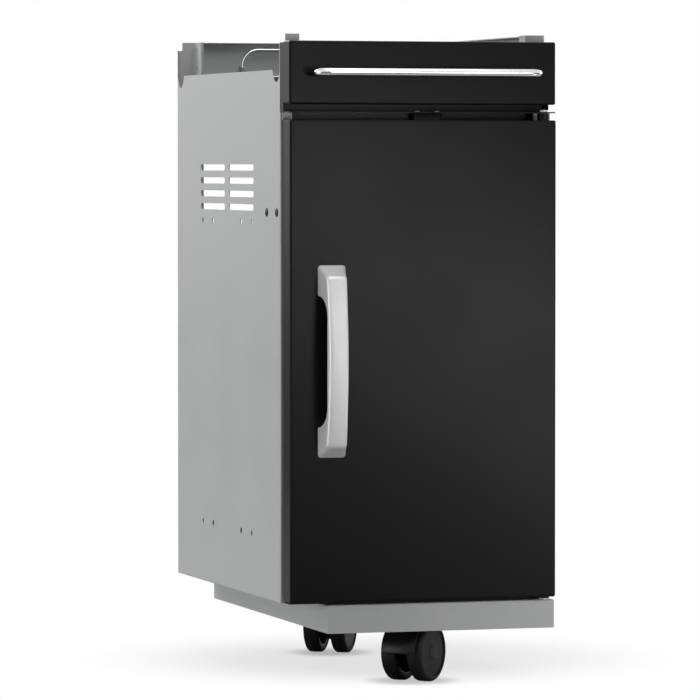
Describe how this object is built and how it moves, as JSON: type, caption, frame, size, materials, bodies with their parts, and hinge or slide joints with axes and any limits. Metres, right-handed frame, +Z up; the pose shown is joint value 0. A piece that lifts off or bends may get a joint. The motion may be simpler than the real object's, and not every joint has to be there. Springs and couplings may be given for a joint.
{
  "type": "grill side cabinet",
  "caption": "Narrow sheet-metal grill side cabinet with a hinged black door, bow handle, towel bar on the fascia, silver side panels and a base tray on swivel casters.",
  "frame": {"origin": "on the floor, below the middle of the whole object's bounding box", "axes": "+X to the right as seen from the door side, +Y to the rear, +Z up; the door faces -Y"},
  "size_m": [0.353, 0.58, 0.8182],
  "materials": {
    "silver": "satin silver powder coat",
    "black_enamel": "satin black enamel",
    "chrome": "polished chrome plate",
    "satin_handle": "satin silver casting",
    "zinc_steel": "zinc plated steel",
    "black_plastic": "moulded black nylon",
    "black_rubber": "moulded rubber",
    "black_tyre": "black thermoplastic rubber"
  },
  "bodies": {
    "cabinet": {"left_side_panel": "silver", "right_side_panel": "silver", "rear_panel": "silver", "rear_top_rail": "silver", "base_tray": "silver", "header_rail": "black_enamel", "bottom_rail": "black_enamel", "stop_rail": "black_enamel", "fascia": "black_enamel", "towel_bar": "chrome", "wire_hanger": "chrome", "floor_panel": "zinc_steel", "towel_bar_nuts": "zinc_steel", "fascia_screws": "zinc_steel", "header_bolts": "zinc_steel", "bottom_rail_screws": "zinc_steel", "stop_rail_screws": "zinc_steel", "rear_rail_screws": "zinc_steel", "rear_panel_screws": "zinc_steel", "panel_foot_screws": "zinc_steel", "magnet_catch_screws": "zinc_steel", "top_hinge_pin": "zinc_steel", "bottom_hinge_pin": "zinc_steel", "wire_hanger_clips": "zinc_steel", "front_caster_plate": "zinc_steel", "front_caster_kingpin": "zinc_steel", "rear_caster_plate": "zinc_steel", "rear_caster_kingpin": "zinc_steel", "caster_bolts": "zinc_steel", "side_plugs": "black_plastic", "magnet_catch": "black_plastic"},
    "door": {"door_skin": "black_enamel", "door_liner": "black_enamel", "door_handle": "satin_handle", "handle_screws": "zinc_steel", "top_hinge_bush": "black_plastic", "bottom_hinge_bush": "black_plastic", "strike_plate": "zinc_steel", "strike_rivets": "zinc_steel", "door_bumpers": "black_rubber"},
    "front_caster": {"front_caster_housing": "black_plastic", "front_caster_axle": "zinc_steel"},
    "front_left_wheel": {"front_left_hub": "black_plastic", "front_left_tyre": "black_tyre"},
    "front_right_wheel": {"front_right_hub": "black_plastic", "front_right_tyre": "black_tyre"},
    "rear_caster": {"rear_caster_housing": "black_plastic", "rear_caster_axle": "zinc_steel"},
    "rear_left_wheel": {"rear_left_hub": "black_plastic", "rear_left_tyre": "black_tyre"},
    "rear_right_wheel": {"rear_right_hub": "black_plastic", "rear_right_tyre": "black_tyre"}
  },
  "joints": [
    {"name": "door_hinge", "type": "hinge", "parent": "cabinet", "child": "door", "pos_m": [0.163, -0.24, 0.40885], "axis": [0, 0, 1], "range_deg": [0, 115]},
    {"name": "front_swivel", "type": "hinge", "parent": "cabinet", "child": "front_caster", "pos_m": [0.025, -0.175, 0.088], "axis": [0, 0, 1], "continuous": true},
    {"name": "front_left_roll", "type": "hinge", "parent": "front_caster", "child": "front_left_wheel", "pos_m": [0.0052, -0.1948, 0.0375], "axis": [0.7071, -0.7071, 0], "continuous": true},
    {"name": "front_right_roll", "type": "hinge", "parent": "front_caster", "child": "front_right_wheel", "pos_m": [0.0052, -0.1948, 0.0375], "axis": [0.7071, -0.7071, 0], "continuous": true},
    {"name": "rear_swivel", "type": "hinge", "parent": "cabinet", "child": "rear_caster", "pos_m": [0.025, 0.214, 0.088], "axis": [0, 0, 1], "continuous": true},
    {"name": "rear_left_roll", "type": "hinge", "parent": "rear_caster", "child": "rear_left_wheel", "pos_m": [0.01016, 0.19026, 0.0375], "axis": [0.848, -0.5299, 0], "continuous": true},
    {"name": "rear_right_roll", "type": "hinge", "parent": "rear_caster", "child": "rear_right_wheel", "pos_m": [0.01016, 0.19026, 0.0375], "axis": [0.848, -0.5299, 0], "continuous": true}
  ]
}
